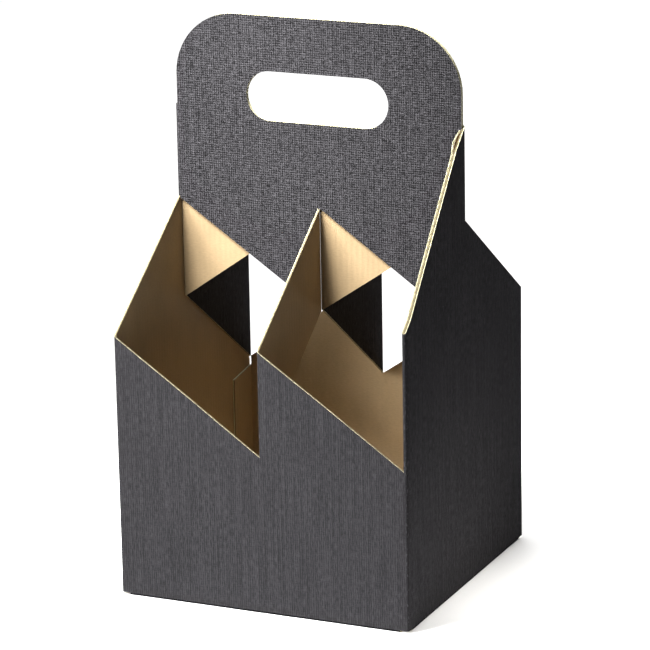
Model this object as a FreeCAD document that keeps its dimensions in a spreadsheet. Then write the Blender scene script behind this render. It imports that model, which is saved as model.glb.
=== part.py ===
"""Four-bottle wine carrier, folded from one sheet of fluted board.

The frame has +Z up, +X to the right and -Y to the front. The origin is the middle
of the underside. The sheet is the same after half a turn about Z, apart from its
glue seam, so the front half is drawn and a polar pattern makes the back half.

Reading order: the lock bottom, the front wall, the right wall, the handle's front
ply, the centre divider, the lining, the half turn, the hand hole, the folds.
"""
import FreeCAD, Part

import math
import os

import Sketcher

SIZES = {
    "width": 172.0,          # across the front, outside
    "depth": 169.0,          # front to back, outside
    "board": 1.2,            # one ply of fine fluted board
    "fold": 1.1,             # outer radius of a fold
    "crease": 0.5,           # inner radius of a fold
    "shoulder": 148.5,       # top of the low corners and of the front's middle point
    "rise": 59.0,            # how far each slanted cut climbs over half a wall
    "nose": 167.0,           # top of the doubled corner
    "nose_rise": 6.0,        # climb of the gentle first stretch behind that corner
    "nose_back": 7.5,        # how far back that stretch reaches
    "tip": 249.5,            # where the steep edge eases off
    "tip_back": 11.5,        # how far in front of the handle that is
    "peak": 260.5,           # where the side walls meet the handle
    "grip_top": 313.0,       # top of the handle
    "grip_corner": 36.0,     # radius of the handle's top corners
    "hole_low": 254.5,       # hand hole
    "hole_high": 282.3,
    "hole_half": 42.3,       # half the length of the hand hole
    "flap_reach": 48.0,      # how far a side flap reaches in under the bottles
    "flap_start": 2.0,       # side flap's clearance from the corners
    "tongue_in": 6.0,        # locking tongue of a main flap, from the middle
    "tongue_out": 34.0,
    "tongue_root": 28.0,
    "tongue_lap": 14.0,
    "slit": 0.8,             # open line between the two main flaps
    "slit_shift": 4.0,       # step of that line at the middle
    "slit_end": 66.0,        # half the length of that line
    "relief": 5.0,           # square cut-back of the flaps at each corner
    "tab_wide": 24.0,        # glue tab inside the back left corner
    "tab_clear": 4.0,        # tab's clearance from the floor and from the lining
}
SHEET = "Sizes"
NEAR = 0.02           # two places this close are the same
SHORT_EDGE = 20.0     # folds are longer than this


class Size:
    """A length that knows its number now and the sheet's expression for it."""

    def __init__(self, number, rule):
        self.number = number
        self.rule = rule

    def _join(self, other, sign, number):
        rule = other.rule if isinstance(other, Size) else str(other)
        return Size(number, "(%s %s %s)" % (self.rule, sign, rule))

    def __add__(self, other):
        return self._join(other, "+", self.number + number_of(other))

    def __sub__(self, other):
        return self._join(other, "-", self.number - number_of(other))

    def __mul__(self, other):
        return self._join(other, "*", self.number * number_of(other))

    def __truediv__(self, other):
        return self._join(other, "/", self.number / number_of(other))

    def __neg__(self):
        return self * -1


def number_of(value):
    """The plain number of a Size or of a number."""
    return value.number if isinstance(value, Size) else float(value)


def make_sheet(doc):
    """Write the driving sizes to the sheet and return a Size for each alias."""
    sheet = doc.addObject("Spreadsheet::Sheet", SHEET)
    sizes = {}
    for row, (alias, number) in enumerate(SIZES.items(), start=1):
        sheet.set("A%d" % row, alias)
        sheet.set("B%d" % row, str(number))
        sheet.setAlias("B%d" % row, alias)
        sizes[alias] = Size(number, "%s.%s" % (SHEET, alias))
    doc.recompute()
    return sizes


def origin_part(body, role):
    """One of the body's own base planes or axes."""
    return next(o for o in body.Origin.OriginFeatures if o.Role == role)


def new_sketch(body, name, plane, offset=None):
    """A sketch on a base plane, moved along the plane's normal by a Size."""
    sketch = body.newObject("Sketcher::SketchObject", name)
    sketch.AttachmentSupport = (origin_part(body, plane), [""])
    sketch.MapMode = "FlatFace"
    if offset is not None:
        sketch.setExpression(".AttachmentOffset.Base.z", offset.rule)
    return sketch


def pin(sketch, geometry, end, across, up):
    """Tie a point to the sketch's origin by two sizes."""
    for kind, axis, value in (("DistanceX", -2, across), ("DistanceY", -1, up)):
        number = number_of(value)
        if number == 0.0:
            sketch.addConstraint(Sketcher.Constraint("PointOnObject", geometry, end, axis))
            continue
        ends = (-1, 1, geometry, end) if number > 0 else (geometry, end, -1, 1)
        index = sketch.addConstraint(Sketcher.Constraint(kind, *ends, abs(number)))
        if isinstance(value, Size):
            rule = value.rule if number > 0 else "-1 * %s" % value.rule
            sketch.setExpression("Constraints[%d]" % index, rule)


def outline(sketch, points):
    """A closed outline of straight edges, every corner tied to the sizes."""
    flat = [FreeCAD.Vector(number_of(a), number_of(b), 0) for a, b in points]
    first = sketch.GeometryCount
    count = len(points)
    for start, end in zip(flat, flat[1:] + flat[:1]):
        sketch.addGeometry(Part.LineSegment(start, end), False)
    for step, (across, up) in enumerate(points):
        before = first + (step - 1) % count
        sketch.addConstraint(Sketcher.Constraint("Coincident", before, 2, first + step, 1))
        pin(sketch, first + step, 1, across, up)


def half_turned(points):
    """The same outline after half a turn about the sketch's origin."""
    return [(-across, -up) for across, up in points]


def pad(body, name, sketch, length):
    """Give a sketch a board's thickness along its plane's normal."""
    feature = body.newObject("PartDesign::Pad", name)
    feature.Profile = sketch
    feature.setExpression("Length", length.rule)
    sketch.Visibility = False
    return feature


def pocket(body, name, sketch, length, reversed_way, both_ways=False):
    """Cut a sketch's outline out of the body, and check that it cut."""
    before = body.Shape.Volume
    feature = body.newObject("PartDesign::Pocket", name)
    feature.Profile = sketch
    feature.setExpression("Length", length.rule)
    feature.Midplane = both_ways
    feature.Reversed = reversed_way
    sketch.Visibility = False
    body.Document.recompute()
    if feature.Shape.Volume >= before - 1.0:
        raise RuntimeError(name + " cuts nothing")
    return feature


def upright_edges(shape, places):
    """Names of the long upright edges that stand at the given places in plan."""
    names = []
    for index, edge in enumerate(shape.Edges, start=1):
        box = edge.BoundBox
        if box.XLength + box.YLength > 1e-6 or box.ZLength < SHORT_EDGE:
            continue
        if any(abs(box.XMin - x) < NEAR and abs(box.YMin - y) < NEAR for x, y in places):
            names.append("Edge%d" % index)
    return names


def fillet(body, name, edges, radius):
    """Round the named edges of the body as it stands."""
    if not edges:
        raise RuntimeError(name + " finds no edge")
    base = body.Tip
    feature = body.newObject("PartDesign::Fillet", name)
    feature.Base = (base, edges)
    feature.setExpression("Radius", radius.rule)
    feature.Refine = False
    body.Document.recompute()
    return feature


def lock_bottom(body, z):
    """The floor: two main flaps below, two side flaps and two tongues on them."""
    half_x, half_y, board = z["width"] / 2, z["depth"] / 2, z["board"]
    plate = new_sketch(body, "main_flaps_plan", "XY_Plane")
    outline(plate, [(-half_x, -half_y), (half_x, -half_y), (half_x, half_y), (-half_x, half_y)])
    pad(body, "main_flaps", plate, board)

    wall = half_x - board
    reach = wall - z["flap_reach"]
    root = half_y - board - z["flap_start"]
    end = root - z["flap_reach"]
    side = new_sketch(body, "side_flap_plan", "XY_Plane", board)
    outline(side, [(wall, -root), (wall, root), (reach, end), (reach, -end)])
    side_flap = pad(body, "side_flap", side, board)

    tongue = new_sketch(body, "tongue_plan", "XY_Plane", board)
    near, far = z["tongue_in"], z["tongue_out"]
    root, lap = -z["tongue_root"], z["tongue_lap"]
    outline(tongue, [(near, root), (far, root), (far, lap / 2), (far - lap / 2, lap),
                     (near + lap / 2, lap), (near, lap / 2)])
    return [side_flap, pad(body, "locking_tongue", tongue, board)]


def front_wall(body, z):
    """The front: two bays whose top edges both fall to the right."""
    half_x, board = z["width"] / 2, z["board"]
    middle, top, low = -board / 2, z["shoulder"], z["shoulder"] - z["rise"]
    sketch = new_sketch(body, "front_outline", "XZ_Plane", z["depth"] / 2 - board)
    outline(sketch, [(-half_x, 0), (half_x, 0), (half_x, low), (middle, top), (middle, low),
                     (-half_x, top)])
    return pad(body, "front_wall", sketch, board)


def steep_edge(z):
    """The side walls' steep edge, from the doubled corner up to the handle."""
    front = -z["depth"] / 2
    return [(z["board"], z["peak"]), (-z["tip_back"], z["tip"]),
            (front + z["nose_back"], z["nose"] + z["nose_rise"]), (front, z["nose"])]


def right_wall(body, z):
    """The right side: tall in front of the handle, falling away behind it."""
    half_y, board, top = z["depth"] / 2, z["board"], z["shoulder"]
    sketch = new_sketch(body, "right_outline", "YZ_Plane", z["width"] / 2 - board)
    outline(sketch, [(-half_y, 0), (half_y, 0), (half_y, top), (board, top + z["rise"])]
            + steep_edge(z))
    return pad(body, "right_wall", sketch, board)


def handle_ply(body, z):
    """The handle's front ply, one sheet with the left wall behind the handle."""
    half_x, board, top, rise = z["width"] / 2, z["board"], z["shoulder"], z["rise"]
    inner = half_x - board
    sketch = new_sketch(body, "handle_outline", "XZ_Plane")
    outline(sketch, [(-half_x, top + rise), (board / 2, top), (board / 2, top + rise),
                     (inner, top), (inner, z["grip_top"]), (-inner, z["grip_top"]),
                     (-inner, z["peak"]), (-half_x, z["peak"])])
    return pad(body, "handle_ply", sketch, board)


def divider(body, z):
    """The divider between the front cells, cut out of the handle ply."""
    front, top, rise = -z["depth"] / 2, z["shoulder"], z["rise"]
    sketch = new_sketch(body, "divider_outline", "YZ_Plane", -z["board"] / 2)
    outline(sketch, [(front, top - rise), (0, top), (0, top + rise), (front, top)])
    return pad(body, "divider", sketch, z["board"])


def lining(body, z):
    """The handle ply's end, folded forward and glued inside the right wall."""
    front, top, rise = -z["depth"] / 2, z["shoulder"], z["rise"]
    sketch = new_sketch(body, "lining_outline", "YZ_Plane", z["width"] / 2 - z["board"] * 2)
    outline(sketch, [(front, top - rise), (0, top), (0, z["peak"])] + steep_edge(z)[1:])
    return pad(body, "lining", sketch, z["board"])


def half_turn(body, features):
    """Repeat the front half's features after half a turn about the upright axis."""
    pattern = body.newObject("PartDesign::PolarPattern", "half_turn")
    pattern.Originals = features
    pattern.Axis = (origin_part(body, "Z_Axis"), [""])
    pattern.Angle = 360
    pattern.Occurrences = 2
    body.Tip = pattern
    body.Document.recompute()
    return pattern


def hand_hole(body, z):
    """The long hole with round ends, through both plies of the handle."""
    radius = (z["hole_high"] - z["hole_low"]) / 2
    middle = (z["hole_high"] + z["hole_low"]) / 2
    reach = z["hole_half"] - radius
    sketch = new_sketch(body, "hand_hole_outline", "XZ_Plane")
    low, high = number_of(z["hole_low"]), number_of(z["hole_high"])
    place, turn = number_of(reach), number_of(radius)
    up = FreeCAD.Vector(0, 0, 1)
    centre_right = FreeCAD.Vector(place, number_of(middle), 0)
    centre_left = FreeCAD.Vector(-place, number_of(middle), 0)
    quarter = math.pi / 2
    right = Part.ArcOfCircle(Part.Circle(centre_right, up, turn), -quarter, quarter)
    left = Part.ArcOfCircle(Part.Circle(centre_left, up, turn), quarter, 3 * quarter)
    top = Part.LineSegment(FreeCAD.Vector(place, high, 0), FreeCAD.Vector(-place, high, 0))
    bottom = Part.LineSegment(FreeCAD.Vector(-place, low, 0), FreeCAD.Vector(place, low, 0))
    for piece in (right, top, left, bottom):
        sketch.addGeometry(piece, False)
    for one, end, other, start in ((0, 2, 1, 1), (1, 2, 2, 1), (2, 2, 3, 1), (3, 2, 0, 1)):
        sketch.addConstraint(Sketcher.Constraint("Tangent", one, end, other, start))
    pin(sketch, 0, 3, reach, middle)
    pin(sketch, 2, 3, -reach, middle)
    index = sketch.addConstraint(Sketcher.Constraint("Radius", 0, turn))
    sketch.setExpression("Constraints[%d]" % index, radius.rule)
    pocket(body, "hand_hole", sketch, z["board"] * 4, False, both_ways=True)


def flap_line(body, z):
    """The stepped line under the box where the two main flaps meet."""
    end, shift, half = z["slit_end"], z["slit_shift"], z["slit"] / 2
    sketch = new_sketch(body, "flap_line_plan", "XY_Plane")
    upper = [(end, -shift + half), (half, -shift + half), (half, shift + half), (-end, shift + half)]
    outline(sketch, upper + half_turned(upper))
    pocket(body, "flap_line", sketch, z["board"], True)


def corner_reliefs(body, z):
    """The small cut-backs that let the bottom flaps fold clear of each corner."""
    half_x, half_y, side = z["width"] / 2, z["depth"] / 2, z["relief"]
    sketch = new_sketch(body, "relief_plan", "XY_Plane")
    for x_way, y_way in ((-1, -1), (1, -1), (1, 1), (-1, 1)):
        outer_x, outer_y = half_x * x_way, half_y * y_way
        inner_x, inner_y = (half_x - side) * x_way, (half_y - side) * y_way
        outline(sketch, [(inner_x, inner_y), (outer_x, inner_y), (outer_x, outer_y),
                         (inner_x, outer_y)])
    pocket(body, "corner_reliefs", sketch, z["board"], True)


def glue_tab(body, z):
    """The sheet's one seam: the back wall's end, glued inside the left wall."""
    back, clear = z["depth"] / 2, z["tab_clear"]
    low = z["shoulder"] - z["rise"] - clear
    near = back - z["tab_wide"]
    sketch = new_sketch(body, "glue_tab_outline", "YZ_Plane", z["board"] - z["width"] / 2)
    outline(sketch, [(back, clear), (back, low), (near, low - clear), (near, clear * 2)])
    pad(body, "glue_tab", sketch, z["board"])


def fold_edges(body, z):
    """Round what is folded: the box corners, the nose, the handle and the dividers."""
    half_x, half_y = number_of(z["width"] / 2), number_of(z["depth"] / 2)
    board = number_of(z["board"])
    lining_x = half_x - 2 * board
    folds = (("tall_corners", [(half_x, -half_y), (-half_x, half_y)], "fold"),
             ("nose", [(lining_x, -half_y)], "fold"),
             ("low_corners", [(half_x, half_y), (-half_x, -half_y)], "fold"),
             ("handle_folds", [(half_x, board), (-half_x, -board)], "fold"),
             ("divider_folds", [(-board / 2, -half_y), (board / 2, half_y)], "fold"),
             ("lining_creases", [(lining_x, -board), (-lining_x, board)], "crease"),
             ("divider_creases", [(-board / 2, -board), (board / 2, board)], "crease"))
    for name, places, radius in folds:
        fillet(body, name, upright_edges(body.Shape, places), z[radius])


def grip_corners(body, z):
    """The handle's two large round top corners."""
    edge_x = number_of(z["width"] / 2 - z["board"])
    top = number_of(z["grip_top"])
    names = []
    for index, edge in enumerate(body.Shape.Edges, start=1):
        box = edge.BoundBox
        at_corner = abs(abs(box.XMin) - edge_x) < NEAR and abs(box.ZMin - top) < NEAR
        if at_corner and box.XLength < NEAR < box.YLength:
            names.append("Edge%d" % index)
    fillet(body, "grip_corners", names, z["grip_corner"])


def hem_edges(body, z):
    """The rounded folds where the walls turn under into the bottom flaps."""
    half_x, half_y = number_of(z["width"] / 2), number_of(z["depth"] / 2)
    names = []
    for index, edge in enumerate(body.Shape.Edges, start=1):
        box = edge.BoundBox
        flat = box.ZMax < NEAR
        along_x = box.YLength < NEAR and abs(abs(box.YMin) - half_y) < NEAR
        along_y = box.XLength < NEAR and abs(abs(box.XMin) - half_x) < NEAR
        if flat and (along_x or along_y) and box.XLength + box.YLength > SHORT_EDGE:
            names.append("Edge%d" % index)
    fillet(body, "hem_folds", names, z["fold"])


def build_carrier(doc, z):
    """The whole folded sheet, as one body."""
    body = doc.addObject("PartDesign::Body", "carrier")
    body.Label = "carrier"
    flaps = lock_bottom(body, z)
    walls = [front_wall(body, z), right_wall(body, z)]
    strip = [lining(body, z), handle_ply(body, z), divider(body, z)]
    doc.recompute()
    half_turn(body, flaps + walls + strip)
    corner_reliefs(body, z)
    hem_edges(body, z)
    grip_corners(body, z)
    fold_edges(body, z)
    hand_hole(body, z)
    flap_line(body, z)
    glue_tab(body, z)
    body.Placement = FreeCAD.Placement()
    return body


def check(doc, bodies):
    """Stop if anything failed to compute or a body isn't one sound solid."""
    for item in doc.Objects:
        if "Invalid" in item.State or "Error" in item.State:
            raise RuntimeError("%s failed: %s" % (item.Name, item.State))
    for body in bodies:
        shape = body.Shape
        if shape.isNull() or not shape.isValid() or len(shape.Solids) != 1:
            raise RuntimeError(body.Label + " isn't one valid solid")


def main():
    doc = FreeCAD.newDocument("bottle_carrier")
    sizes = make_sheet(doc)
    bodies = [build_carrier(doc, sizes)]
    doc.recompute()
    check(doc, bodies)
    os.makedirs("parts", exist_ok=True)
    for body in bodies:
        body.Shape.exportStep("parts/%s.step" % body.Label)
        box = body.Shape.BoundBox
        print(body.Label, "volume %.0f mm3" % body.Shape.Volume,
              "size %.1f x %.1f x %.1f" % (box.XLength, box.YLength, box.ZLength))


main()
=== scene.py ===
"""Looks of a four-bottle wine carrier, folded from one sheet of black linen-faced fluted board.

The sheet is drawn as its black face: flat panels are added at their places, the folds between
them are spun, the slanted die cuts are bisected, and the face then gets the board's thickness.
Everything is in metres, +Z up, -Y to the front, with the origin under the middle of the box.
"""
import math

import bmesh
import bpy
from bpy.props import FloatProperty, FloatVectorProperty, IntProperty, PointerProperty
from mathutils import Matrix, Vector


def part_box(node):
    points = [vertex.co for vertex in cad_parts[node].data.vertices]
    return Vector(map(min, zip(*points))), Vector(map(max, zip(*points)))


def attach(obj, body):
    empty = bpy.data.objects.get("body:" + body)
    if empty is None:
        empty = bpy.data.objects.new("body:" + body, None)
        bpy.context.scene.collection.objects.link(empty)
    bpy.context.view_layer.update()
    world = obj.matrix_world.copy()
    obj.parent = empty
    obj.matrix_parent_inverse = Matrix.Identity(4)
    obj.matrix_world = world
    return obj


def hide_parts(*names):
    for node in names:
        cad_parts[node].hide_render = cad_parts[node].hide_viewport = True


bl_info = {
    "name": "Wine carrier looks",
    "version": (1, 0, 0),
    "blender": (4, 5, 0),
    "location": "3D View > Sidebar > Carrier",
    "description": "Folds the carrier's linen board and sets its stage",
    "category": "Object",
}

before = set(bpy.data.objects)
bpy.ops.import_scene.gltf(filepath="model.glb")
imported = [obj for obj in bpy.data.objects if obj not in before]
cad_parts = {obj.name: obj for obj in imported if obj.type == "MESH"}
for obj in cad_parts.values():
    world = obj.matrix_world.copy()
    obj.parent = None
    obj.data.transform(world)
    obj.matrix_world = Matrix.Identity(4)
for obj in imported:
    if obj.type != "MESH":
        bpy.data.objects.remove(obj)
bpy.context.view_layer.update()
PIECE = "carrier_board"
BODY, NODE, SLOT = "root", "carrier", "board"
CAD_LOW, CAD_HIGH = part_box(NODE)
NEAR = 2e-5           # places this close are the same
WELD = 1e-5           # welding distance
APART = 0.002         # the regular mesh lines keep this far from the key places
UPRIGHT = 0.98        # a cut edge more upright than this runs along the flutes
LEVEL = 0.7           # a face whose normal is more upright than this is laid out as the bottom
SQUARE = 0.99         # a face whose normal is less along one axis than this is on a fold
RIGHT_ANGLE = math.pi / 2
UP = Vector((0, 0, 1))
FACING = {            # turn that stands a plane up and points its face one way
    "front": (RIGHT_ANGLE, 0, 0),
    "right": (RIGHT_ANGLE, 0, RIGHT_ANGLE),
    "left": (RIGHT_ANGLE, 0, -RIGHT_ANGLE),
    "down": (math.pi, 0, 0),
}


class CarrierSizes(bpy.types.PropertyGroup):
    """The carrier's driving sizes."""

    width: FloatProperty(name="Width", description="Across the front, outside",
                         default=CAD_HIGH.x - CAD_LOW.x, unit="LENGTH")
    depth: FloatProperty(name="Depth", description="Front to back, outside",
                         default=CAD_HIGH.y - CAD_LOW.y, unit="LENGTH")
    height: FloatProperty(name="Height", description="Top of the handle",
                          default=CAD_HIGH.z, unit="LENGTH")
    board: FloatProperty(name="Board", description="Outer radius of a fold, one ply and its glue",
                         default=0.0012, unit="LENGTH")
    ply: FloatProperty(name="Ply", description="Thickness of one ply without the glue gap",
                       default=0.00115, unit="LENGTH")
    crease: FloatProperty(name="Crease", description="Black radius inside a crease",
                          default=0.0005, unit="LENGTH")
    shoulder: FloatProperty(name="Shoulder", description="Top of the low corners",
                            default=0.1485, unit="LENGTH")
    rise: FloatProperty(name="Rise", description="Climb of a slanted cut over half a wall",
                        default=0.059, unit="LENGTH")
    nose: FloatProperty(name="Nose", description="Top of the doubled corner",
                        default=0.167, unit="LENGTH")
    nose_rise: FloatProperty(name="Nose rise", description="Climb of the gentle first stretch",
                             default=0.006, unit="LENGTH")
    nose_back: FloatProperty(name="Nose back", description="How far back that stretch reaches",
                             default=0.0075, unit="LENGTH")
    tip: FloatProperty(name="Tip", description="Where the steep cut eases off",
                       default=0.2495, unit="LENGTH")
    tip_back: FloatProperty(name="Tip back", description="How far in front of the handle that is",
                            default=0.0115, unit="LENGTH")
    peak: FloatProperty(name="Peak", description="Where the side walls meet the handle",
                        default=0.2605, unit="LENGTH")
    grip_corner: FloatProperty(name="Grip corner", description="Radius of the handle's corners",
                               default=0.036, unit="LENGTH")
    hole_low: FloatProperty(name="Hole low", description="Bottom of the hand hole",
                            default=0.2545, unit="LENGTH")
    hole_high: FloatProperty(name="Hole high", description="Top of the hand hole",
                             default=0.2823, unit="LENGTH")
    hole_half: FloatProperty(name="Hole half", description="Half the hand hole's length",
                             default=0.0423, unit="LENGTH")
    grid: FloatProperty(name="Grid", description="Spacing of the sheet's mesh lines",
                        default=0.012, unit="LENGTH")
    flute: FloatProperty(name="Flute", description="Pitch of the board's flutes",
                         default=0.0032, unit="LENGTH")
    flute_steps: IntProperty(name="Flute steps", description="Mesh steps to one flute", default=7)
    thread: FloatProperty(name="Thread", description="Pitch of the linen's threads",
                          default=0.0013, unit="LENGTH")
    bow: FloatProperty(name="Bow", description="How far a wall bows inwards", default=0.0004,
                       unit="LENGTH")
    gape: FloatProperty(name="Gape", description="How far the doubled wall's plies open",
                        default=0.0013, unit="LENGTH")
    flute_depth: FloatProperty(name="Flute depth", description="How far a cut flute is open",
                               default=0.0005, unit="LENGTH")
    liner: FloatProperty(name="Liner", description="Thickness of each liner",
                         default=0.00028, unit="LENGTH")


class CarrierColours(bpy.types.PropertyGroup):
    """The carrier's colours."""

    linen: FloatVectorProperty(name="Linen", description="Black linen face", subtype="COLOR",
                               size=3, default=(0.0164, 0.0158, 0.0168))
    linen_pale: FloatVectorProperty(name="Linen crown", description="Crowns of the threads",
                                    subtype="COLOR", size=3, default=(0.0455, 0.0438, 0.047))
    kraft: FloatVectorProperty(name="Kraft", description="Plain kraft liner inside",
                               subtype="COLOR", size=3, default=(0.25, 0.178, 0.095))
    cut: FloatVectorProperty(name="Cut edge", description="Board cut across", subtype="COLOR",
                             size=3, default=(0.46, 0.435, 0.285))
    # partly painted shade: darker than the kraft's own brown, for the flutes' shade on the cut
    # edge
    cut_dark: FloatVectorProperty(name="Cut kraft", description="Kraft side of the cut board",
                                  subtype="COLOR", size=3, default=(0.125, 0.104, 0.058))
    # painted shade at the fold under the walls
    painted_shade: FloatVectorProperty(name="Shade", description="The fold under the walls",
                               subtype="COLOR", size=3, default=(0.002, 0.002, 0.002))
    floor: FloatVectorProperty(name="Floor", description="Studio floor", subtype="COLOR",
                               size=3, default=(0.84, 0.84, 0.84))


class CarrierStage(bpy.types.PropertyGroup):
    """Where the camera stands."""

    lens: FloatProperty(name="Lens", description="Focal length in millimetres",
                        default=206.23, unit="CAMERA")
    place: FloatVectorProperty(name="Place", description="Where the camera stands", size=3,
                               default=(0.8158, -1.8064, 0.7110), subtype="TRANSLATION")
    round: FloatProperty(name="Round", description="Turn about the upright axis",
                         default=math.radians(24.254), subtype="ANGLE")
    down: FloatProperty(name="Down", description="Tilt below level",
                        default=math.radians(16.054), subtype="ANGLE")
    roll: FloatProperty(name="Roll", description="Turn about the line of sight",
                        default=math.radians(-1.039), subtype="ANGLE")


# Name, place, point it is aimed at, size, power, beam and any tint of each soft light
LIGHTS = (
    ("key", (-0.50, -0.62, 0.62), (-0.05, -0.08, 0.09), 0.35, 2.25, math.radians(45)),
    ("top", (-0.14, -0.24, 0.68), (-0.02, 0, 0.25), 0.2, 1.6, math.radians(45)),
    ("back", (-0.25, 1.10, 1.90), (-0.25, 1.10, 0), 1.2, 32.0, math.pi),
    ("over", (0.02, 0.08, 1.80), (0.02, 0.08, 0), 0.4, 8.5, math.pi),
    ("fill", (0.38, -0.04, 0.30), (0.125, -0.02, 0.0), 0.12, 0.085, math.radians(33),
     (1.0, 0.97, 0.92)),
)
SKY_LEVEL, SKY_OVERHEAD = 0.25, 1.6    # brightness all round and overhead
SKY_FADE = 5.0                         # how soon the sky goes dark towards the right
FLOOR_SIZE = 12.0
SENSOR, SIGHT = 36.0, 100.0            # the camera's sensor in millimetres, and its reach

# Spots to the metre round the walls and up them, and the detail, of the linen's noises
LINEN_NOISES = (
    (2300, 260, 1.0),       # upright threads
    (260, 2200, 1.0),       # crossing threads
    (2400, 2400, 2.0),      # grain
    (3000, 1200, 1.0),      # warp of the handle's weave
    (1200, 3000, 1.0),      # its weft
    (760, 22, 1.0),         # long streaks
    (26, 26, 3.0),          # clouds
    (800, 350, 1.0),        # paler dots on the folds
)
EMBOSSING = 0.0003          # relief of the linen in its normals
FIBRES = 0.00012            # relief of bare kraft and of cut board
# height of the painted shade under the walls, and its soft edge
FOOT, FOOT_FADE = 0.0006, 0.001    # height of the shade under the walls, and its soft edge

FOLD_STEPS, NOSE_STEPS, CREASE_STEPS = 6, 7, 4    # mesh steps round each kind of fold
SMOOTH_BELOW = math.radians(35)                   # faces that turn less are shaded as one
ROWS = 6                                          # mesh rows across a cut edge
FLUTE_SWING, FLUTE_PAPER, FLUTE_SLOPE = 0.2, 0.07, 0.12    # shares of the thickness


class Plan:
    """Places in plan and heights that the panels and folds share."""

    def __init__(self, z):
        self.z = z
        self.x, self.y = z.width / 2, z.depth / 2
        self.crease, self.board = z.crease, z.board
        self.x_fold, self.y_fold = self.x - z.board, self.y - z.board
        self.low = z.shoulder - z.rise                    # lowest point of a slanted cut
        self.high = z.shoulder + z.rise                   # its highest point
        self.half = z.board / 2                           # half a divider
        self.over = z.shoulder + 0.002                    # just over the shoulders
        self.lining = self.x - 2 * z.board                # the linings' black faces
        self.x_crease = self.lining - z.crease
        self.y_crease = z.board + z.crease
        self.div_crease = self.half + z.crease            # ply's end beside a divider's crease
        self.tip_slope = (z.peak - z.tip) / (z.board + z.tip_back)
        self.crease_top = z.tip + (z.tip_back - self.y_crease) * self.tip_slope
        self.bend = self.y - z.nose_back                  # where the steep cut steepens
        self.bend_height = z.nose + z.nose_rise
        self.steep = (z.tip - self.bend_height) / (self.bend - z.tip_back)
        self.hole_round = (z.hole_high - z.hole_low) / 2
        self.hole_reach = z.hole_half - self.hole_round
        self.hole_mid = (z.hole_high + z.hole_low) / 2
        self.relief = 0.005                               # cut-back of the flaps at a corner
        self.slit, self.shift = 0.0004, 0.004             # the main flaps' stepped line
        self.tongue = (0.006, 0.034, 0.014)               # locking tongue: sides and tip
        self.ramp = -0.016                                # where the tongue starts to rise
        self.side_reach = 0.048                           # how far a side flap reaches in
        self.lap = z.board + 0.00005                      # a flap lying on another and its glue
        self.tab_reach, self.tab_clear = 0.024, 0.004

    def levels(self, axis):
        """Where the sheet is divided across one axis: its key places and a regular grid."""
        z, keys = self.z, []
        if axis == 0:
            keys = [self.x - self.relief, self.lining, self.x_crease, self.x_fold, self.half,
                    self.div_crease, self.hole_reach, z.hole_half, *self.tongue[:2]]
            keys += [-key for key in keys] + [0.0]
            end = self.x
        elif axis == 1:
            keys = [self.y - self.relief, self.y_crease, self.shift + self.slit,
                    self.shift - self.slit, self.ramp, self.bend]
            keys += [-key for key in keys] + [0.0]
            end = self.y
        else:
            keys = [self.tab_clear, self.low - self.tab_clear, self.low, z.shoulder, self.over,
                    z.nose, self.bend_height, self.high, z.hole_low, self.crease_top, z.peak,
                    self.hole_mid, z.hole_high]
            end = z.height
        count = round((2 if axis < 2 else 1) * end / z.grid)
        start = -end if axis < 2 else 0.0
        regular = [start + (end - start) * step / count for step in range(1, count)]
        return keys + [place for place in regular if min(abs(place - k) for k in keys) > APART]


def select_mode(kind):
    """Work on vertices, edges or faces."""
    bpy.context.tool_settings.mesh_select_mode = [kind == k for k in ("VERT", "EDGE", "FACE")]


def pick_faces(test):
    """Select the faces whose middle and normal pass a test."""
    select_mode("FACE")
    mesh = bpy.context.object.data
    shape = bmesh.from_edit_mesh(mesh)
    for item in (*shape.verts, *shape.edges):
        item.select_set(False)
    found = 0
    for face in shape.faces:
        chosen = bool(test(face.calc_center_median(), face.normal))
        face.select_set(chosen)
        found += chosen
    bmesh.update_edit_mesh(mesh)
    if not found:
        raise RuntimeError("no face passes the test of place")


def pick_edges(test):
    """Select the edges that pass a test."""
    select_mode("EDGE")
    mesh = bpy.context.object.data
    shape = bmesh.from_edit_mesh(mesh)
    for item in (*shape.verts, *shape.faces):
        item.select_set(False)
    found = 0
    for edge in shape.edges:
        chosen = bool(test(edge))
        edge.select_set(chosen)
        found += chosen
    bmesh.update_edit_mesh(mesh)
    return found


def pick_chain(test):
    """Select the open edges whose two ends pass a test of place."""
    if not pick_edges(lambda e: e.is_boundary and all(test(v.co) for v in e.verts)):
        raise RuntimeError("no open edge passes the test of place")


def panel(side, start, end):
    """A flat panel between two opposite corners, facing one side of the box."""
    start, end = Vector(start), Vector(end)
    middle, size = (start + end) / 2, end - start
    bpy.ops.mesh.primitive_plane_add(size=1.0, location=middle, rotation=FACING[side])
    if bpy.context.object.mode == "OBJECT":
        bpy.ops.object.transform_apply(location=True, rotation=True, scale=True)
        bpy.ops.object.mode_set(mode="EDIT")
        bpy.ops.mesh.select_all(action="SELECT")
    bpy.ops.transform.resize(value=[abs(s) or 1.0 for s in size], center_override=middle)


def divide(place, axis):
    """Divide the whole sheet by a plane across one axis."""
    bpy.ops.mesh.select_all(action="SELECT")
    spot, across = Vector(), Vector()
    spot[axis], across[axis] = place, 1.0
    bpy.ops.mesh.bisect(plane_co=spot, plane_no=across, threshold=NEAR)


def spin_fold(test, centre, turn, steps, axis=UP):
    """Fold the open edges that pass a test round a line, anticlockwise seen from its end."""
    pick_chain(test)
    bpy.ops.mesh.spin(steps=steps, angle=-turn, center=centre, axis=axis)


def die_cut(test, point, normal):
    """Cut the picked faces by a plane and drop what the normal points at."""
    pick_faces(test)
    bpy.ops.mesh.bisect(plane_co=point, plane_no=Vector(normal).normalized(), clear_outer=True,
                        threshold=NEAR)


def weld():
    """Join the panels where their edges meet."""
    bpy.ops.mesh.select_all(action="SELECT")
    bpy.ops.mesh.remove_doubles(threshold=WELD)


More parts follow.
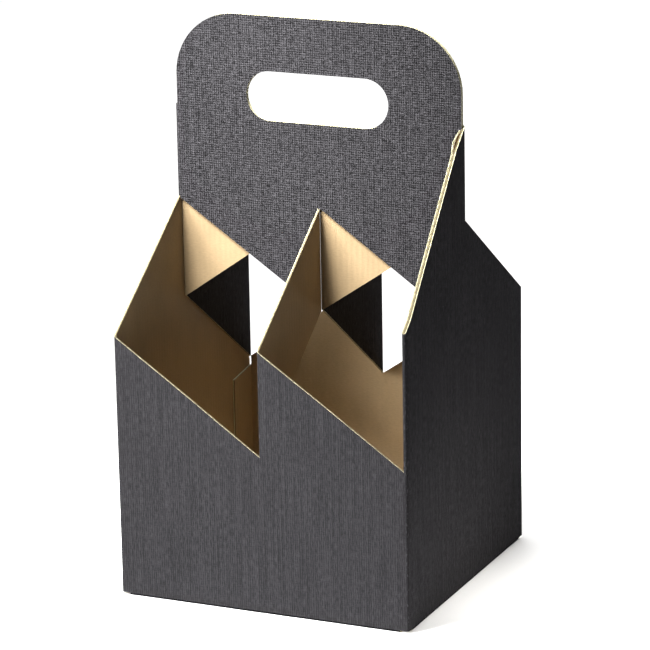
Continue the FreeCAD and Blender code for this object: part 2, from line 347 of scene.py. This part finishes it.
def at(value, place):
    """Whether a value is at a place."""
    return abs(value - place) < NEAR


def between(value, low, high):
    """Whether a value is between two places or at one of them."""
    return low - NEAR < value < high + NEAR


def flat_panels(p):
    """The front half's panels as rectangles, each facing its black side."""
    z, x, y = p.z, p.x, p.y
    panel("right", (x, -p.y_fold, p.board), (x, 0, z.peak))
    panel("right", (x, 0, p.board), (x, p.y_fold, p.high))
    panel("front", (-p.x_fold, -y, p.board), (-p.half, -y, p.over))
    panel("front", (-p.half, -y, p.board), (p.half, -y, p.low))
    panel("front", (p.half, -y, p.board), (p.x_fold, -y, p.over))
    panel("left", (-p.half, -p.y_fold, p.low), (-p.half, -p.y_crease, p.high))
    panel("left", (p.lining, -p.y_fold, p.low), (p.lining, -p.y_crease, z.peak))
    handle_panels(p)
    bottom_panels(p)


def handle_panels(p):
    """The handle's front ply, in blocks that leave room for the hand hole."""
    z, y = p.z, -p.board
    reach, half = p.hole_reach, z.hole_half
    panel("front", (-p.x_fold, y, z.shoulder), (-half, y, z.height))
    panel("front", (-half, y, z.shoulder), (-p.div_crease, y, z.hole_low))
    panel("front", (-p.div_crease, y, p.high), (p.half, y, z.hole_low))
    panel("front", (p.half, y, z.shoulder), (half, y, z.hole_low))
    panel("front", (-half, y, z.hole_high), (half, y, z.height))
    panel("front", (half, y, z.shoulder), (p.x_crease, y, z.height))
    panel("front", (p.x_crease, y, p.crease_top), (p.x_fold, y, z.height))
    for side in (-1, 1):
        for up in (-1, 1):
            spandrel(Vector((side * reach, y, p.hole_mid)), side, up, p.hole_round)


def spandrel(centre, side, up, radius, steps=10):
    """The board between a quarter of the hand hole's round end and its square corner."""
    bpy.ops.mesh.primitive_circle_add(vertices=4 * steps, radius=radius, location=centre,
                                      rotation=FACING["front"])
    select_mode("VERT")
    mesh = bpy.context.object.data
    shape = bmesh.from_edit_mesh(mesh)
    ring = [v for v in shape.verts if v.select]
    for vert in ring:
        away = vert.co - centre
        vert.select_set(side * away.x < -NEAR or up * away.z < -NEAR)
    shape.select_flush_mode()
    bmesh.update_edit_mesh(mesh)
    bpy.ops.mesh.delete(type="VERT")
    shape = bmesh.from_edit_mesh(mesh)
    quarter = [v for v in shape.verts if not v.link_faces]
    end = max(quarter, key=lambda v: side * v.co.x)
    for vert in shape.verts:
        vert.select_set(vert is end)
    shape.select_flush_mode()
    bmesh.update_edit_mesh(mesh)
    bpy.ops.mesh.extrude_vertices_move(TRANSFORM_OT_translate={"value": (0, 0, up * radius)})
    shape = bmesh.from_edit_mesh(mesh)
    for vert in shape.verts:
        vert.select_set(not vert.link_faces)
    shape.select_flush_mode()
    bmesh.update_edit_mesh(mesh)
    bpy.ops.mesh.edge_face_add()
    bpy.ops.mesh.quads_convert_to_tris(ngon_method="BEAUTY")


def bottom_panels(p):
    """The front main flap with its tongue, and the right side flap lying on the main flaps."""
    edge, out = p.x - p.relief, p.y - p.relief
    far, near = p.shift - p.slit, -p.shift - p.slit
    low, high, tip = p.tongue
    panel("down", (-edge, -p.y_fold, 0), (0, far, 0))
    panel("down", (0, -p.y_fold, 0), (low, near, 0))
    panel("down", (low, -p.y_fold, 0), (high, p.ramp, 0))
    panel("down", (high, -p.y_fold, 0), (edge, near, 0))
    panel("down", (low, near, p.lap), (high, tip, p.lap))
    pick_chain(lambda v: at(v.y, near) and at(v.z, p.lap))
    bpy.ops.mesh.extrude_region_move(
        TRANSFORM_OT_translate={"value": (0, p.ramp - near, -p.lap)})
    step = p.x_fold - 2 * p.board
    panel("down", (p.x_fold - p.side_reach, -out, p.lap), (step, out, p.lap))
    pick_chain(lambda v: at(v.x, step) and at(v.z, p.lap))
    bpy.ops.mesh.extrude_region_move(TRANSFORM_OT_translate={"value": (2 * p.board, 0, -p.lap)})
    for side in (-1, 1):
        die_cut(lambda c, n: at(c.z, p.lap) and c.x > high, (step, side * out, p.lap),
                (-1, side, 0))
        die_cut(lambda c, n: at(c.z, p.lap) and c.x < high + NEAR and c.y > near,
                ((low + high) / 2 + side * (high - low) / 4, tip, p.lap), (side, 1, 0))


def front_folds(p):
    """Spin the folds between the front half's panels."""
    z, quarter = p.z, RIGHT_ANGLE
    x, y, edge = p.x, p.y, p.x - p.relief
    spin_fold(lambda v: at(v.x, x) and at(v.y, -p.y_fold) and v.z > p.low - NEAR,
              (p.x_fold, -p.y_fold, 0), -math.pi, NOSE_STEPS)
    spin_fold(lambda v: at(v.x, x) and at(v.y, 0) and v.z > p.high - NEAR,
              (p.x_fold, 0, 0), quarter, FOLD_STEPS)
    spin_fold(lambda v: at(v.x, -p.x_fold) and at(v.y, -y),
              (-p.x_fold, -p.y_fold, 0), -quarter, FOLD_STEPS)
    spin_fold(lambda v: at(v.x, p.half) and at(v.y, -y) and v.z > p.low - NEAR,
              (p.half, -p.y_fold, 0), -quarter, FOLD_STEPS)
    spin_fold(lambda v: at(v.x, -p.div_crease) and at(v.y, -p.board) and v.z < p.high + NEAR,
              (-p.div_crease, -p.y_crease, 0), -quarter, CREASE_STEPS)
    spin_fold(lambda v: at(v.x, p.x_crease) and at(v.y, -p.board) and v.z < p.crease_top + NEAR,
              (p.x_crease, -p.y_crease, 0), -quarter, CREASE_STEPS)
    spin_fold(lambda v: at(v.z, p.board) and at(v.y, -y) and abs(v.x) < edge + NEAR,
              (0, -p.y_fold, p.board), quarter, FOLD_STEPS, Vector((1, 0, 0)))
    spin_fold(lambda v: at(v.z, p.board) and at(v.x, x) and abs(v.y) < y - p.relief + NEAR,
              (p.x_fold, 0, p.board), quarter, FOLD_STEPS, Vector((0, 1, 0)))


def half_turn():
    """Copy the front half, turned about the upright axis."""
    bpy.ops.mesh.select_all(action="SELECT")
    bpy.ops.mesh.duplicate()
    bpy.ops.transform.rotate(value=math.pi, orient_axis="Z", center_override=(0, 0, 0))


def seam(p):
    """Fold the front right corner, and glue the back left one with a tab."""
    x, y, low = p.x, p.y, p.low
    spin_fold(lambda v: at(v.x, x) and at(v.y, -p.y_fold) and v.z < low + NEAR,
              (p.x_fold, -p.y_fold, 0), -RIGHT_ANGLE, FOLD_STEPS)
    pick_faces(lambda c, n: at(c.y, y) and c.x < -p.lining and c.z < p.over)
    bpy.ops.mesh.delete(type="FACE")
    pick_chain(lambda v: at(v.x, -x) and at(v.y, p.y_fold) and v.z < low + NEAR)
    bpy.ops.mesh.extrude_region_move(TRANSFORM_OT_translate={"value": (0, p.board, 0)})
    tab_low, tab_high = p.tab_clear, low - p.tab_clear
    spin_fold(lambda v: at(v.x, -p.lining) and at(v.y, y) and between(v.z, tab_low, tab_high),
              (-p.lining, p.y_fold, 0), RIGHT_ANGLE, FOLD_STEPS)
    inner, near, narrowing = -p.x_fold, y - p.tab_reach, p.tab_clear * 0.8
    pick_chain(lambda v: at(v.x, inner) and at(v.y, p.y_fold) and between(v.z, tab_low, tab_high))
    bpy.ops.mesh.extrude_region_move(TRANSFORM_OT_translate={"value": (0, near - p.y_fold, 0)})
    for edge, up in ((tab_low, -1), (tab_high, 1)):
        die_cut(lambda c, n: at(c.x, inner) and c.y < p.y_fold,
                (inner, p.y_fold, edge), (0, -narrowing, up * p.tab_reach))


def die_cuts(p, turn):
    """The slanted cuts of one half; turn is 1 for the front and -1 for the back half."""
    z = p.z

    def cut(test, point, across, along, keep=-1):
        """Cut by the plane that climbs by across per x and along per y; keep says which side."""
        spot = Vector((point[0] * turn, point[1] * turn, point[2]))
        normal = Vector((across * turn, along * turn, -1.0)) * keep
        die_cut(lambda c, n: test(c.x * turn, c.y * turn, c.z), spot, normal)

    bay = z.rise / (p.x + p.half)
    # The left bay's edge, and the left wall's up to the handle
    cut(lambda x, y, h: (x < -p.half and y < -p.y_fold)
        or (x < -p.x_fold and y < 0 and h < p.high),
        (-p.x, -p.y, z.shoulder), -z.rise / (p.x - p.half), z.rise / p.y_fold)
    # The right bay's edge, and the divider's upper one
    cut(lambda x, y, h: h > p.low and (
        (at(y, -p.y) and p.half < x < p.x_fold) or (abs(x) < p.half + NEAR and y < -p.y_crease)
        or (-p.div_crease < x < -p.half + NEAR and -p.y_crease < y < -p.board - NEAR)),
        (-p.half, -p.y, z.shoulder), -bay, (z.rise - bay * p.crease) / (p.y - p.board))
    run = p.y_fold - p.board
    # The handle's lower edge on the left, and the divider's
    cut(lambda x, y, h: (at(y, -p.board) and -p.x_fold < x < -p.div_crease)
        or (-p.div_crease < x < -p.half + NEAR and -p.y_crease < y < -p.board - NEAR)
        or (abs(x) < p.half + NEAR and y < -p.y_crease and h > p.low),
        (p.half, -p.board, z.shoulder), -bay, z.rise / run, 1)
    # The doubled corner's lower end, and the lining's beside it
    cut(lambda x, y, h: h > p.low and (
        (x > p.lining and y < -p.y_fold and not at(y, -p.y))
        or (at(x, p.lining) and y < -p.y_crease)),
        (p.x, -p.y, p.low), -bay, 0.0, 1)
    end = z.rise / (p.x_fold - p.half)
    foot = p.low + bay * 2 * p.board
    # The handle's lower edge on the right, and the lining's
    cut(lambda x, y, h: (at(y, -p.board) and x > p.half)
        or (p.x_crease < x < p.lining and -p.y_crease < y < -p.board - NEAR)
        or (at(x, p.lining) and y < -p.y_crease),
        (p.half, -p.board, p.high), -end, (p.high - end * (p.lining - p.half) - foot) / run, 1)
    # The doubled wall's edge: gentle over its nose, then steep, and easing off by the handle
    pick_faces(lambda c, n: c.x * turn > p.lining - NEAR and c.y * turn < -p.bend
               and c.z > p.bend_height)
    bpy.ops.mesh.delete(type="FACE")
    cut(lambda x, y, h: h > p.low and x > p.lining - NEAR and y < -p.bend,
        (p.x, -p.y, z.nose), 0.0, z.nose_rise / z.nose_back)
    cut(lambda x, y, h: h > p.low and y > -p.bend and (
        (x > p.lining - NEAR and y < -p.y_crease) or (x > p.x_fold and y < 0)),
        (p.x, -p.bend, p.bend_height), 0.0, p.steep)
    cut(lambda x, y, h: (at(x, p.lining) and y < -p.y_crease and h > p.low)
        or (x > p.x_fold and y < p.board and h > p.high),
        (p.x, p.board, z.peak), 0.0, p.tip_slope)


def close_corner(p):
    """Bring the front right corner's top up to the slanted cut beside it."""
    mesh = bpy.context.object.data
    shape = bmesh.from_edit_mesh(mesh)
    slope = p.z.rise / (p.x + p.half)
    for vert in shape.verts:
        x, y, height = vert.co
        if x > p.x_fold - NEAR and y < NEAR - p.y_fold and at(height, p.low):
            vert.co.z = p.low + slope * (p.x - x)
    bmesh.update_edit_mesh(mesh)
    weld()


def grip_corners(p, steps=14):
    """Round the handle's top corners by a fan of tangent cuts."""
    z = p.z
    for side in (-1, 1):
        centre = Vector((side * (p.x_fold - z.grip_corner), 0, z.height - z.grip_corner))
        for step in range(steps):
            angle = (step + 0.5) / steps * RIGHT_ANGLE
            away = Vector((side * math.cos(angle), 0, math.sin(angle)))
            die_cut(lambda c, n: at(abs(c.y), p.board) and c.z > z.hole_low
                    and side * c.x > 0, centre + away * z.grip_corner, away)


def build_face(p):
    """The sheet's black face, folded and cut, facing outwards all over."""
    bpy.ops.object.select_all(action="DESELECT")
    flat_panels(p)
    for axis in range(3):
        for place in sorted(p.levels(axis)):
            divide(place, axis)
    front_folds(p)
    weld()
    half_turn()
    weld()
    seam(p)
    weld()
    for turn in (1, -1):
        die_cuts(p, turn)
    close_corner(p)
    grip_corners(p)
    bpy.ops.mesh.select_all(action="SELECT")
    bpy.ops.mesh.normals_make_consistent(inside=False)
    pick_faces(lambda c, n: at(c.y, -p.y))
    shape = bmesh.from_edit_mesh(bpy.context.object.data)
    if any(face.select and face.normal.y > 0 for face in shape.faces):
        bpy.ops.mesh.select_all(action="SELECT")
        bpy.ops.mesh.flip_normals()


def crosses_flutes(p, edge):
    """Whether an edge is cut across the flutes and can be seen."""
    along = edge.verts[0].co - edge.verts[1].co
    return (abs(along.z) < UPRIGHT * along.length
            and min(v.co.z for v in edge.verts) > 2 * p.board)


def fine_edges(p):
    """Divide the cut edges into a few steps to each flute."""
    step, slack = p.z.flute / p.z.flute_steps, 0.01

    def steps(edge):
        if not edge.is_boundary or not crosses_flutes(p, edge):
            return 1
        return math.ceil(edge.calc_length() / step - slack)

    shape = bmesh.from_edit_mesh(bpy.context.object.data)
    for count in sorted({steps(edge) for edge in shape.edges} - {1}):
        pick_edges(lambda e: steps(e) == count)
        bpy.ops.mesh.subdivide(number_cuts=count - 1)


def swell(value, low, high):
    """A smooth rise and fall between two places, nought outside them."""
    part = (value - low) / (high - low)
    return math.sin(math.pi * part) ** 2 if 0 < part < 1 else 0.0


def settle(p):
    """Bow the walls a little inwards, and let the doubled wall's plies open near its tip."""
    z = p.z
    mesh = bpy.context.object.data
    shape = bmesh.from_edit_mesh(mesh)
    for vert in shape.verts:
        x, y, height = vert.co
        turn = -1 if x < 0 else 1
        if at(abs(y), p.y) and abs(x) < p.x_fold:
            side = -1 if y > 0 else 1
            bay = swell(abs(x), p.half, p.x_fold)
            vert.co.y += side * z.bow * bay * min(1.0, height / z.shoulder)
        elif at(abs(x), p.x):
            lift = swell(height, 0.0, z.peak) * swell(y, -p.y_fold, p.y_fold)
            vert.co.x -= turn * z.bow * lift
        elif at(abs(x), p.lining) and abs(y) > p.y_crease and height > p.low:
            below = z.tip - p.steep * (abs(y) - z.tip_back) - height
            spread = swell(height + below, z.tip - z.gape * 3, z.peak + z.gape * 2)
            vert.co.x -= turn * z.gape * spread * math.exp(-(below / z.grid) ** 2)
    bmesh.update_edit_mesh(mesh)


def map_sheet(piece, p):
    """Lay the sheet out for its patterns in metres: round the walls, and up."""
    mesh = piece.data
    layer = mesh.uv_layers.new(name="sheet")
    # marks of the folds, for their painted shadow and paler dots, and of the handle, for its
    # painted raking light
    fold = mesh.attributes.new("fold", "FLOAT", "POINT")
    handle = mesh.attributes.new("handle", "FLOAT", "POINT")
    for index, vert in enumerate(mesh.vertices):
        handle.data[index].value = float(at(abs(vert.co.y), p.board) and vert.co.z > p.low)
    for face in mesh.polygons:
        normal = face.normal
        lies_flat = abs(normal.z) > LEVEL
        if max(abs(part) for part in normal) < SQUARE:
            for index in face.vertices:
                fold.data[index].value = 1.0
        for loop in face.loop_indices:
            x, y, height = mesh.vertices[mesh.loops[loop].vertex_index].co
            if lies_flat:
                layer.data[loop].uv = (x, y)
            elif normal.x * normal.y < -1e-6:
                layer.data[loop].uv = (x + y, height)
            else:
                layer.data[loop].uv = (x - y, height)


def thicken(piece, p):
    """Give the face the board's thickness, towards its kraft side."""
    board = piece.modifiers.new("Board", "SOLIDIFY")
    board.thickness = p.z.ply
    board.offset = -1.0
    board.use_even_offset = True
    board.use_rim = True
    board.material_offset = 1
    board.material_offset_rim = 2
    bpy.ops.object.modifier_apply(modifier=board.name)


def open_flutes(p):
    """Sink the cut edges between their liners, where no wave of the middle paper stands."""
    z = p.z
    mesh = bpy.context.object.data
    shape = bmesh.from_edit_mesh(mesh)
    reach = shape.verts.layers.float.new("reach")
    for face in shape.faces:
        if face.material_index == 1:
            for vert in face.verts:
                vert[reach] = 1.0
    pick_edges(lambda e: all(face.material_index == 2 for face in e.link_faces))
    bpy.ops.mesh.subdivide(number_cuts=ROWS - 1)
    shape = bmesh.from_edit_mesh(mesh)
    reach = shape.verts.layers.float["reach"]
    liner = z.liner / z.ply
    moves = []
    for vert in shape.verts:
        across = vert[reach]
        if liner < across < 1 - liner and all(crosses_flutes(p, e) for e in vert.link_edges):
            turns = (vert.co.x + vert.co.y) / z.flute
            middle = 0.5 + FLUTE_SWING * math.sin(2 * math.pi * turns)
            gap = (abs(across - middle) - FLUTE_PAPER) / FLUTE_SLOPE
            gap = min(max(gap, 0.0), 1.0)
            outward = sum((face.normal for face in vert.link_faces), Vector()).normalized()
            moves.append((vert, outward * -z.flute_depth * gap))
    for vert, move in moves:
        vert.co += move
    bmesh.update_edit_mesh(mesh)


class Flow:
    """A value from a material's nodes; Python sums with it add Math nodes."""

    def __init__(self, tree, socket):
        self.tree, self.socket = tree, socket

    def math(self, operation, *others, clamp=False):
        """Add a Math node that takes this value and others."""
        node = self.tree.nodes.new("ShaderNodeMath")
        node.operation, node.use_clamp = operation, clamp
        for slot, value in zip(node.inputs, (self, *others)):
            feed(self.tree, slot, value)
        return Flow(self.tree, node.outputs[0])

    def __add__(self, other):
        return self.math("ADD", other)

    def __radd__(self, other):
        return self.math("ADD", other)

    def __sub__(self, other):
        return self.math("SUBTRACT", other)

    def __rsub__(self, other):
        return self.math("MULTIPLY_ADD", -1.0, other)

    def __mul__(self, other):
        return self.math("MULTIPLY", other)

    def __rmul__(self, other):
        return self.math("MULTIPLY", other)

    def __truediv__(self, other):
        return self.math("DIVIDE", other)

    def __pow__(self, other):
        return self.math("POWER", other)

    def clamped(self):
        """The value kept from nought to one."""
        return self.math("ADD", 0.0, clamp=True)


def feed(tree, slot, value):
    """Link a flow to a socket, or set the socket's own value."""
    if isinstance(value, Flow):
        tree.links.new(value.socket, slot)
    elif slot.type == "RGBA" and len(value) == 3:
        slot.default_value = (*value, 1.0)
    else:
        slot.default_value = value


class Finish:
    """A material and the nodes that give the board or floor its look."""

    def __init__(self, name):
        self.material = bpy.data.materials.new(name)
        self.material.use_nodes = True
        self.tree = self.material.node_tree
        self.tree.nodes.clear()

    def node(self, kind, settings=None, values=None, output=0):
        """Add a node: its settings first, then the values and links of its sockets."""
        made = self.tree.nodes.new("ShaderNode" + kind)
        for name, setting in (settings or {}).items():
            setattr(made, name, setting)
        for name, value in (values or {}).items():
            feed(self.tree, made.inputs[name], value)
        return Flow(self.tree, made.outputs[output]) if made.outputs else None

    def stretched(self, place, stretch):
        """The place with each of its axes scaled."""
        return self.node("VectorMath", {"operation": "MULTIPLY"}, {0: place, 1: stretch})

    def noise(self, place, stretch, detail=2.0, roughness=0.5):
        """Noise over a stretched place, about one blotch to each unit."""
        return self.node("TexNoise", None, {
            "Vector": self.stretched(place, stretch), "Scale": 1.0, "Detail": detail,
            "Roughness": roughness})

    def axis(self, place, index):
        """A place's measure along one of its axes."""
        return self.node("SeparateXYZ", None, {0: place}, output=index)

    def mark(self, name):
        """A mark that the mesh carries, from nought to one."""
        return self.node("Attribute", {"attribute_name": name}, output=2)

    def blend(self, amount, low, high):
        """A colour between two others."""
        return self.node("Mix", {"data_type": "RGBA", "clamp_factor": True},
                         {0: amount, 6: low, 7: high}, output=2)

    def close(self, colour, roughness, height=None, lift=0.0, shine=0.5):
        """Finish with one shader: colour, roughness, relief in metres and its shine."""
        values = {"Base Color": colour, "Roughness": roughness, "Specular IOR Level": shine}
        if height is not None:
            values["Normal"] = self.node("Bump", None, {"Strength": 1.0, "Distance": lift,
                                                        "Height": height})
        shader = self.node("BsdfPrincipled", None, values)
        self.node("OutputMaterial", None, {"Surface": shader})
        return self.material


def scaled(colour, times):
    """A colour made darker or paler."""
    return tuple(min(part * times, 1.0) for part in colour)


def past(value, level, gain):
    """How far a value is past a level, from nought to one."""
    return ((value - level) * gain).clamped()


def sheet_place(finish):
    """The place on the sheet, laid flat."""
    return finish.node("UVMap", {"uv_map": "sheet"})


def linen_finish(colours, thread):
    """Black paper embossed as linen: irregular upright and crossing threads.

    The handle's threads get darker hollows and paler crowns, as painted raking light. The folds
    are darkened as painted shadow and dotted with paler specks, and the fold under the walls has
    a painted shade.
    """
    finish = Finish("black_linen")
    place = sheet_place(finish)
    raked, fold = finish.mark("handle"), finish.mark("fold")
    upright, crossing, grain, warp, weft, strands, cloud, dot_spots = (
        finish.noise(place, (across, up, 1), detail) for across, up, detail in LINEN_NOISES)
    turn = 2 * math.pi / thread
    lines = (finish.axis(place, 0) * turn + strands * 4.0).math("SINE")
    rows = (finish.axis(place, 1) * turn + crossing * 6.0).math("SINE")
    streaks = strands - 0.5
    plain = upright * 0.5 + crossing * 0.2 + grain * 0.3 + lines * 0.05 + streaks * 0.25
    woven = ((warp + weft) * 0.28 + upright * 0.2 + crossing * 0.24 + lines * 0.035
             + streaks * 0.06 + rows * 0.035)
    weave = plain + raked * (woven - plain)
    # painted raking light: on the handle the crowns stand out more, with darker hollows and paler
    # crowns than on the walls
    crowns = ((weave - 0.5) * (5.5 + 1.2 * raked) + 0.4 - 0.12 * raked).clamped()
    # paler dots along the folds
    fold_dots = fold * past(dot_spots, 0.56, 10.0) * 0.9
    low = finish.blend(raked, colours.linen, scaled(colours.linen, 0.4))
    high = finish.blend(raked, colours.linen_pale, scaled(colours.linen_pale, 2.2))
    # painted shadow: the folds are darkened by holding back the crowns' paleness
    tone = finish.blend(crowns * 0.6 * (1.0 - fold * 0.8) + fold_dots, low, high)
    tone = finish.blend((cloud - 0.4) * 0.5, tone, colours.linen)
    # painted shade: the linen goes dark over its lowest millimetre and a half, at the fold under
    # the walls
    height = finish.axis(finish.node("TexCoord", output=3), 2)
    tone = finish.blend((height - FOOT) / FOOT_FADE, colours.painted_shade, tone)
    rough = 0.86 + (grain - 0.5) * 0.2 - crowns * 0.1
    return finish.close(tone, rough, weave, EMBOSSING, shine=0.0)


def kraft_finish(colours, flute):
    """Plain kraft liner: fibres, specks and the faint print of the flutes beneath."""
    finish = Finish("kraft_liner")
    place = sheet_place(finish)
    fibres = finish.noise(place, (420, 1500, 1), 4.0, 0.6)
    cloud = finish.noise(place, (55, 40, 1), 3.0)
    specks = past(finish.noise(place, (900, 1100, 1), 1.0), 0.68, 9.0)
    wave = (finish.axis(place, 0) * (2 * math.pi / flute)).math("SINE")
    dark, pale = scaled(colours.kraft, 0.62), scaled(colours.kraft, 1.25)
    tone = finish.blend(fibres * 0.7 + cloud * 0.5 - 0.1, dark, pale)
    tone = finish.blend(specks * 0.5, tone, dark)
    return finish.close(tone, 0.78 + (fibres - 0.5) * 0.2, fibres * 0.3 + wave * 0.25, FIBRES,
                        shine=0.3)


def cut_finish(colours):
    """Board cut across: bright fibres on the linen side; the kraft side is its brown and painted
    shade.
    """
    finish = Finish("cut_edge")
    place = finish.node("TexCoord", output=3)
    # painted shade: the kraft half of each cut edge goes dark, partly the kraft's own brown and
    # partly shade of the flutes and of the gap between plies
    painted_shade = past(finish.mark("reach"), 0.42, 6.0)
    fibres = finish.noise(place, (1500, 1500, 1500), 3.0, 0.6)
    blots = finish.noise(place, (260, 260, 260), 2.0)
    dull, pale = scaled(colours.cut, 0.6), scaled(colours.cut, 1.15)
    tone = finish.blend(fibres * 0.6 + blots * 0.5 - 0.05, dull, pale)
    # the painted shade is weaker on the handle's edges
    tone = finish.blend(painted_shade * (1.0 - 0.6 * finish.mark("handle")), tone, colours.cut_dark)
    return finish.close(tone, 0.85 - fibres * 0.1, fibres, FIBRES, shine=0.25)


def floor_finish(colours):
    """Pale studio paper with the faintest mottle."""
    finish = Finish("studio_floor")
    place = finish.node("TexCoord", output=3)
    mottle = finish.noise(place, (9, 9, 9), 3.0)
    tone = finish.blend(mottle * 0.2, colours.floor, scaled(colours.floor, 0.97))
    return finish.close(tone, 0.85 + mottle * 0.05, shine=0.1)


def lay_floor(colours):
    """A wide flat floor, its far edges out of sight."""
    bpy.ops.object.select_all(action="DESELECT")
    bpy.ops.mesh.primitive_plane_add(size=FLOOR_SIZE, location=(0, 0, 0))
    floor = bpy.context.object
    floor.name = floor.data.name = "studio_floor"
    floor.data.materials.append(floor_finish(colours))


def aim(thing, place, target):
    """Put a light in place, pointing at its target."""
    thing.location = place
    thing.rotation_euler = (Vector(target) - Vector(place)).to_track_quat("-Z", "Y").to_euler()


def hang_light(name, place, target, size, power, beam, tint=(1, 1, 1)):
    """A square soft light that keeps to its beam."""
    bpy.ops.object.light_add(type="AREA", location=place)
    lamp = bpy.context.object
    lamp.name = name
    lamp.data.size, lamp.data.energy, lamp.data.spread = size, power, beam
    lamp.data.color = tint
    aim(lamp, place, target)


def hang_sky(scene):
    """Soft light from overhead and round the left, with none from the right."""
    world = bpy.data.worlds.new("studio")
    world.use_nodes = True
    scene.world = world
    tree = world.node_tree
    tree.nodes.clear()
    towards = tree.nodes.new("ShaderNodeTexCoord").outputs["Generated"]
    parts = tree.nodes.new("ShaderNodeSeparateXYZ")
    tree.links.new(towards, parts.inputs[0])
    right, up = Flow(tree, parts.outputs[0]), Flow(tree, parts.outputs[2])
    overhead = up.clamped() ** 2.0 * (SKY_OVERHEAD - SKY_LEVEL)
    strength = (SKY_LEVEL + overhead) * (1.0 - (right * SKY_FADE).clamped())
    back = tree.nodes.new("ShaderNodeBackground")
    feed(tree, back.inputs["Strength"], strength)
    out = tree.nodes.new("ShaderNodeOutputWorld")
    tree.links.new(back.outputs[0], out.inputs[0])
    back.inputs["Color"].default_value = (1, 1, 1, 1)


def stand_camera(stage):
    """The camera, turned round, tilted and rolled."""
    bpy.ops.object.camera_add(location=stage.place)
    camera = bpy.context.object
    camera.data.lens, camera.data.sensor_width = stage.lens, SENSOR
    camera.data.clip_end = SIGHT
    turn = (Matrix.Rotation(stage.round, 4, "Z")
            @ Matrix.Rotation(RIGHT_ANGLE - stage.down, 4, "X")
            @ Matrix.Rotation(stage.roll, 4, "Z"))
    camera.matrix_world = Matrix.Translation(stage.place) @ turn
    return camera


class CARRIER_OT_board(bpy.types.Operator):
    """Fold the carrier from one sheet of board"""

    bl_idname = "carrier.board"
    bl_label = "Fold the board"

    def execute(self, context):
        p = Plan(context.scene.carrier_sizes)
        colours = context.scene.carrier_colours
        build_face(p)
        fine_edges(p)
        settle(p)
        bpy.ops.object.mode_set(mode="OBJECT")
        piece = context.object
        piece.name = piece.data.name = PIECE
        for finish in (linen_finish(colours, p.z.thread), kraft_finish(colours, p.z.flute),
                       cut_finish(colours)):
            piece.data.materials.append(finish)
        map_sheet(piece, p)
        thicken(piece, p)
        bpy.ops.object.mode_set(mode="EDIT")
        open_flutes(p)
        bpy.ops.object.mode_set(mode="OBJECT")
        bpy.ops.object.shade_smooth_by_angle(angle=SMOOTH_BELOW)
        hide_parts(NODE)
        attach(piece, BODY)
        return {"FINISHED"}


class CARRIER_OT_stage(bpy.types.Operator):
    """Set the floor, the lights, the sky and the camera"""

    bl_idname = "carrier.stage"
    bl_label = "Set the stage"

    def execute(self, context):
        stage = context.scene.carrier_stage
        lay_floor(context.scene.carrier_colours)
        for light in LIGHTS:
            hang_light(*light)
        hang_sky(context.scene)
        context.scene.camera = stand_camera(stage)
        context.scene.view_settings.view_transform = "Standard"
        return {"FINISHED"}


class CARRIER_PT_panel(bpy.types.Panel):
    """The carrier's sizes, colours and steps"""

    bl_idname = "CARRIER_PT_panel"
    bl_label = "Wine carrier"
    bl_space_type = "VIEW_3D"
    bl_region_type = "UI"
    bl_category = "Carrier"

    def draw(self, context):
        layout, scene = self.layout, context.scene
        for group in (scene.carrier_sizes, scene.carrier_colours, scene.carrier_stage):
            column = layout.column(align=True)
            for name in group.__annotations__:
                column.prop(group, name)
        for step in STEPS:
            layout.operator(step.bl_idname)


STEPS = (CARRIER_OT_board, CARRIER_OT_stage)
GROUPS = {"carrier_sizes": CarrierSizes, "carrier_colours": CarrierColours,
          "carrier_stage": CarrierStage}
CLASSES = (*GROUPS.values(), *STEPS, CARRIER_PT_panel)


def register():
    """Register the classes, and give the scene its groups of properties."""
    for kind in CLASSES:
        bpy.utils.register_class(kind)
    for name, group in GROUPS.items():
        setattr(bpy.types.Scene, name, PointerProperty(type=group))


def unregister():
    """Take the groups and the classes away again."""
    for name in GROUPS:
        delattr(bpy.types.Scene, name)
    for kind in reversed(CLASSES):
        bpy.utils.unregister_class(kind)


def main():
    """Build the carrier and its stage."""
    register()
    bpy.ops.carrier.board()
    bpy.ops.carrier.stage()


if __name__ == "__main__":
    main()
